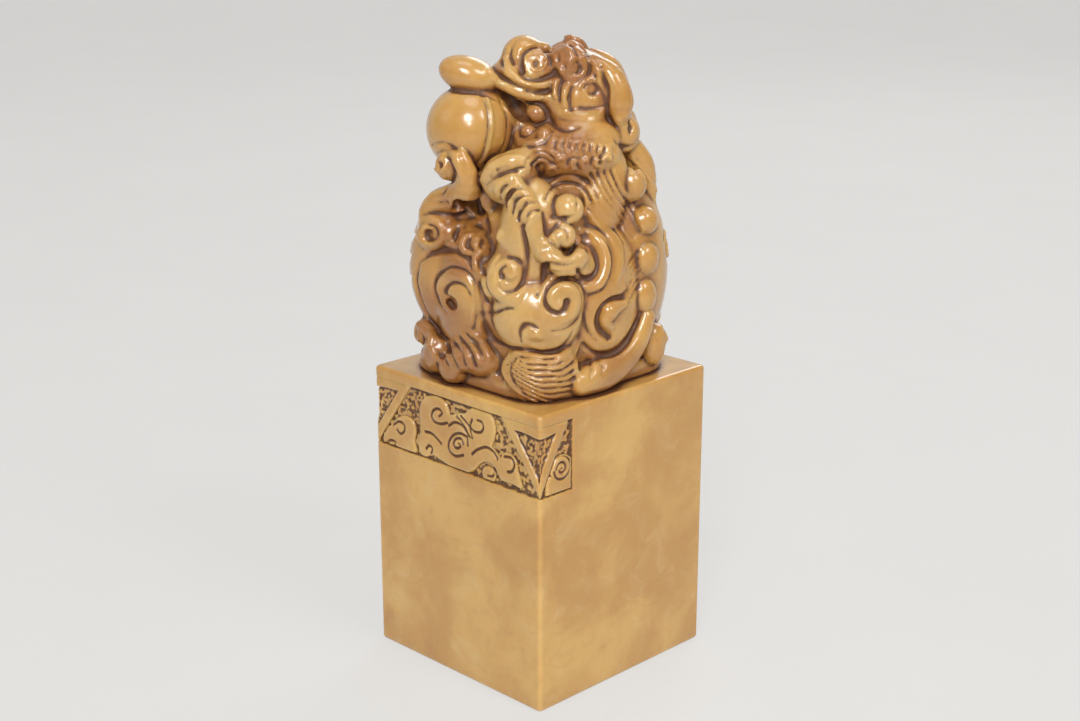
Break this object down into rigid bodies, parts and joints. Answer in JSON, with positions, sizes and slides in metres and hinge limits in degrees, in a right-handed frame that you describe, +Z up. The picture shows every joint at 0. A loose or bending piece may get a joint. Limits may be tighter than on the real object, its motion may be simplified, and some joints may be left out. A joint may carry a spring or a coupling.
{
  "type": "seal stamp",
  "caption": "Square soapstone seal stamp with a carved guardian beast, cub and ball on top and a cloud scroll band on one face.",
  "frame": {"origin": "centre of the square seal face, on the surface that the stamp stands on", "axes": "+Z up from the seal face to the carving; -Y is the block face with the carved band, +X the plain face on its right"},
  "size_m": [0.0404, 0.0409, 0.1056],
  "materials": {
    "soapstone": "polished honey-coloured soapstone with brown patina in the cuts"
  },
  "bodies": {
    "root": {"back_lock": "soapstone", "ball": "soapstone", "ball_lobe": "soapstone", "ball_ribbon": "soapstone", "base_scrolls": "soapstone", "beard": "soapstone", "body": "soapstone", "brow_tufts": "soapstone", "chest": "soapstone", "cloud_scroll": "soapstone", "cub_arm": "soapstone", "cub_body": "soapstone", "cub_haunch": "soapstone", "cub_head": "soapstone", "cub_locks": "soapstone", "far_cheek": "soapstone", "far_ear": "soapstone", "far_flank": "soapstone", "far_foreleg": "soapstone", "far_hair_fan": "soapstone", "far_haunch": "soapstone", "far_hind_foot": "soapstone", "far_paw": "soapstone", "front_lappet": "soapstone", "hair_fan": "soapstone", "hook_scroll": "soapstone", "lower_jaw": "soapstone", "muzzle": "soapstone", "near_cheek": "soapstone", "near_ear": "soapstone", "near_foreleg": "soapstone", "near_haunch": "soapstone", "near_hind_foot": "soapstone", "near_nostril": "soapstone", "near_paw": "soapstone", "rock_base": "soapstone", "rump": "soapstone", "seal_block": "soapstone", "shoulder_scroll": "soapstone", "side_lappet": "soapstone", "skull": "soapstone", "spine_beads": "soapstone", "tail_tuft": "soapstone", "tongue": "soapstone"}
  },
  "joints": []
}
